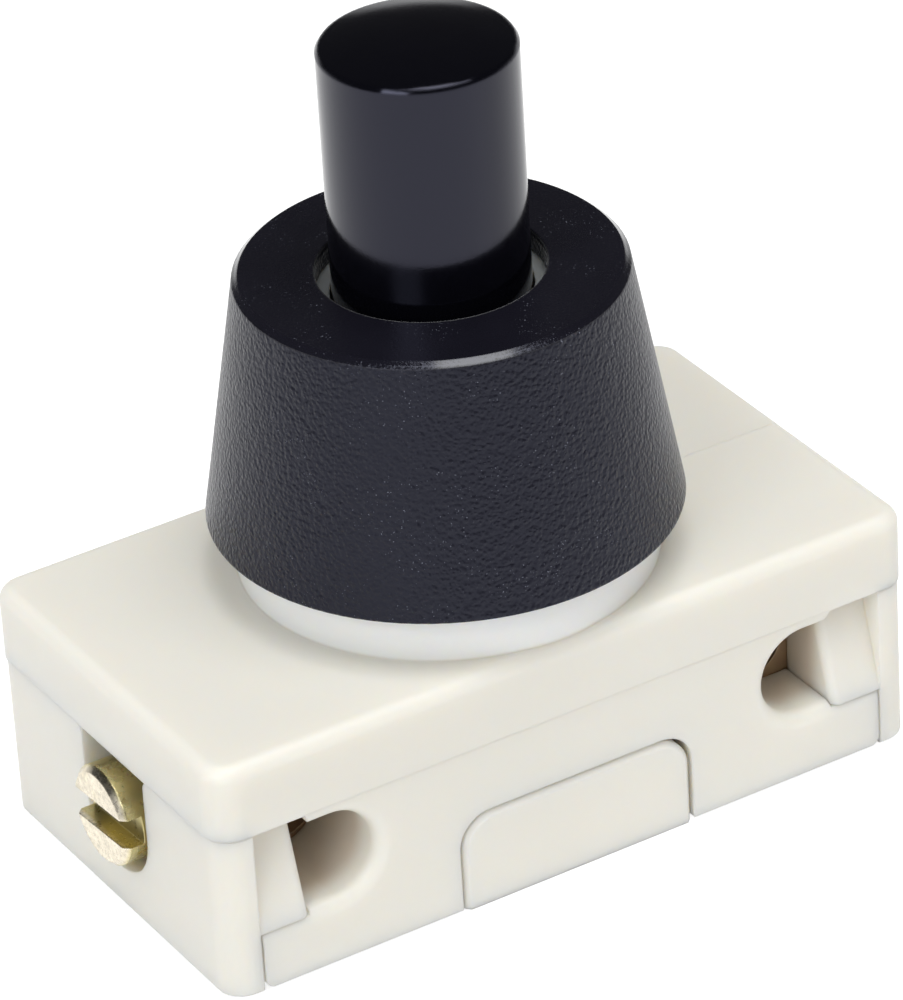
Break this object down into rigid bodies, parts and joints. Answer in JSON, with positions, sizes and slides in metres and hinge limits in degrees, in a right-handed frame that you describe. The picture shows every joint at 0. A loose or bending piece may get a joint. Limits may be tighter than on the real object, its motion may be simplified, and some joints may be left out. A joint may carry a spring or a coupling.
{
  "type": "push-button lamp switch",
  "caption": "Push-button switch for a lamp: flat two-part housing with screw terminals and wire openings, a threaded neck with a conical ring nut, and a tall round button.",
  "frame": {"origin": "middle of the housing's flat underside", "axes": "+Z along the button's axis, away from the housing; +X along the housing towards its right-hand terminal; -Y towards the front long side with its wire openings"},
  "size_m": [0.0342, 0.0194, 0.0342],
  "materials": {
    "cream_plastic": "satin moulded",
    "black_grained_plastic": "fine leather grain",
    "black_gloss_plastic": "polished",
    "brown_plastic": "moulded",
    "spring_bronze": "rolled",
    "silver_contact": "smooth",
    "steel": "zinc plated",
    "spring_steel": "drawn wire",
    "brass": "turned"
  },
  "bodies": {
    "housing": {"cover": "cream_plastic", "base": "cream_plastic", "terminal_block_left": "brass", "terminal_block_right": "brass", "contact_strip_left": "brass", "contact_strip_right": "brass", "fixed_contact_left": "silver_contact", "fixed_contact_right": "silver_contact", "return_spring": "spring_steel"},
    "button": {"push_button": "black_gloss_plastic"},
    "rotor": {"rotor": "brown_plastic", "contact_star": "spring_bronze", "moving_contact_1": "silver_contact", "moving_contact_2": "silver_contact", "moving_contact_3": "silver_contact", "moving_contact_4": "silver_contact", "spring_washer": "steel"},
    "nut": {"ring_nut": "black_grained_plastic"},
    "screw_left": {"terminal_screw_left": "brass"},
    "screw_right": {"terminal_screw_right": "brass"}
  },
  "joints": [
    {"name": "button_press", "type": "slide", "parent": "housing", "child": "button", "axis": [0, 0, -1], "range_m": [0, 0.004], "stiffness_N_per_m": 400, "springref_m": -0.001, "deforming": ["return_spring"]},
    {"name": "rotor_turn", "type": "hinge", "parent": "housing", "child": "rotor", "pos_m": [0, 0, 0.003], "axis": [0, 0, 1], "range_deg": [0, 46]},
    {"name": "nut_turn", "type": "hinge", "parent": "housing", "child": "nut", "pos_m": [0, 0, 0.01315], "axis": [0, 0, 1], "continuous": true},
    {"name": "screw_left_turn", "type": "hinge", "parent": "housing", "child": "screw_left", "pos_m": [-0.0156, -0.0004, 0.0046], "axis": [-1, 0, 0], "continuous": true},
    {"name": "screw_right_turn", "type": "hinge", "parent": "housing", "child": "screw_right", "pos_m": [0.0156, 0.0004, 0.0046], "axis": [1, 0, 0], "continuous": true}
  ],
  "couplings": [
    {"joint": "rotor_turn", "follows": "button_press", "rad_per_m": 196.35}
  ]
}
